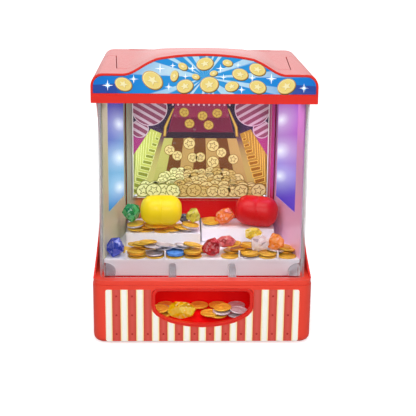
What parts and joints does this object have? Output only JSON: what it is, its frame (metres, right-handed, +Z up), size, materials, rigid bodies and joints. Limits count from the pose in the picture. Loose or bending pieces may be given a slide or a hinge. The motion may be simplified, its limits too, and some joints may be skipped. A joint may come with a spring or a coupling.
{
  "type": "toy coin pusher machine",
  "caption": "Table-top coin pusher toy: red casing with arched sign, clear wrap-round window, lit side walls, twin sliding pushers over a coin table, prize opening in a striped base.",
  "frame": {"origin": "middle of the footprint, at the height the feet rest on", "axes": "+Z up; the sign, window and prize opening face -Y; +X is to the right of someone looking at the front"},
  "size_m": [0.262, 0.24, 0.3478],
  "materials": {
    "red_plastic": "smooth gloss moulding",
    "red_inner_plastic": "smooth gloss moulding",
    "white_plastic": "smooth satin-gloss moulding",
    "silver_plastic": "satin silver-grey",
    "clear_plastic": "clear polished sheet",
    "frosted_plastic": "frosted light diffuser",
    "backdrop_print": "printed card under gloss film",
    "sign_print": "printed gloss label",
    "stripe_print": "printed gloss label",
    "black_plastic": "fine matte texture",
    "rubber": "matte",
    "steel": "bright zinc",
    "circuit_board": "solder-masked board",
    "cell_jacket": "printed steel jacket, no mark",
    "nylon": "natural nylon"
  },
  "bodies": {
    "casing": {"back_cover": "red_plastic", "backdrop_panel": "backdrop_print", "backdrop_window": "clear_plastic", "base_deck": "red_plastic", "base_floor": "red_plastic", "base_tub": "red_plastic", "battery_1": "cell_jacket", "battery_2": "cell_jacket", "battery_3": "cell_jacket", "battery_box": "black_plastic", "ceiling_panel": "white_plastic", "circuit_board": "circuit_board", "coin_chute_left": "black_plastic", "coin_chute_right": "black_plastic", "coin_table": "white_plastic", "cover_screw_1": "steel", "cover_screw_2": "steel", "cover_screw_3": "steel", "cover_screw_4": "steel", "drive_motor": "steel", "foot_1": "rubber", "foot_2": "rubber", "foot_3": "rubber", "foot_4": "rubber", "front_hood": "red_plastic", "front_window": "clear_plastic", "gearbox_plate": "black_plastic", "inner_back_wall": "red_inner_plastic", "led_board_left": "circuit_board", "led_board_right": "circuit_board", "light_lens_left": "frosted_plastic", "light_lens_right": "frosted_plastic", "light_wall_left": "silver_plastic", "light_wall_right": "silver_plastic", "pane_screw_left": "steel", "pane_screw_right": "steel", "power_switch_body": "black_plastic", "prize_bezel": "red_inner_plastic", "prize_tray": "red_inner_plastic", "roof_panel": "red_plastic", "side_panel_left": "red_plastic", "side_panel_right": "red_plastic", "sign_fascia": "red_plastic", "sign_label": "sign_print", "speaker": "black_plastic", "stripe_label": "stripe_print", "window_rib_corner_left": "clear_plastic", "window_rib_corner_right": "clear_plastic", "window_rib_left": "clear_plastic", "window_rib_right": "clear_plastic", "wire_harness": "black_plastic"},
    "pusher_left": {"pusher_left": "white_plastic"},
    "pusher_right": {"pusher_right": "white_plastic"},
    "rocker": {"rocker_arm": "nylon"},
    "crank": {"crank_gear": "nylon"},
    "idler": {"idler_gear": "nylon"},
    "pinion": {"motor_pinion": "steel"},
    "switch": {"power_slider": "black_plastic"},
    "battery_hatch": {"battery_door": "red_plastic", "battery_door_screw": "steel"}
  },
  "joints": [
    {"name": "pusher_left_slide", "type": "slide", "parent": "casing", "child": "pusher_left", "axis": [0, 1, 0], "range_m": [0, 0.023]},
    {"name": "pusher_right_slide", "type": "slide", "parent": "casing", "child": "pusher_right", "axis": [0, -1, 0], "range_m": [0, 0.023]},
    {"name": "rocker_swing", "type": "hinge", "parent": "casing", "child": "rocker", "pos_m": [0, 0.066, 0.12], "axis": [0, 0, -1], "range_deg": [0, 26.7]},
    {"name": "crank_spin", "type": "hinge", "parent": "casing", "child": "crank", "pos_m": [0, 0.092, 0.13], "axis": [0, 0, 1], "continuous": true},
    {"name": "idler_spin", "type": "hinge", "parent": "casing", "child": "idler", "pos_m": [0.025, 0.092, 0.135], "axis": [0, 0, 1], "continuous": true},
    {"name": "motor_spin", "type": "hinge", "parent": "casing", "child": "pinion", "pos_m": [0.0434, 0.092, 0.136], "axis": [0, 0, 1], "continuous": true},
    {"name": "power_switch_slide", "type": "slide", "parent": "casing", "child": "switch", "axis": [1, 0, 0], "range_m": [0, 0.0075]},
    {"name": "battery_hatch_release", "type": "slide", "parent": "casing", "child": "battery_hatch", "axis": [0, 0, -1], "range_m": [0, 0.03]}
  ],
  "couplings": [
    {"joint": "pusher_right_slide", "follows": "pusher_left_slide", "ratio": 1},
    {"joint": "rocker_swing", "follows": "pusher_left_slide", "rad_per_m": 20.181},
    {"joint": "idler_spin", "follows": "crank_spin", "ratio": -4},
    {"joint": "motor_spin", "follows": "crank_spin", "ratio": 14.4}
  ]
}
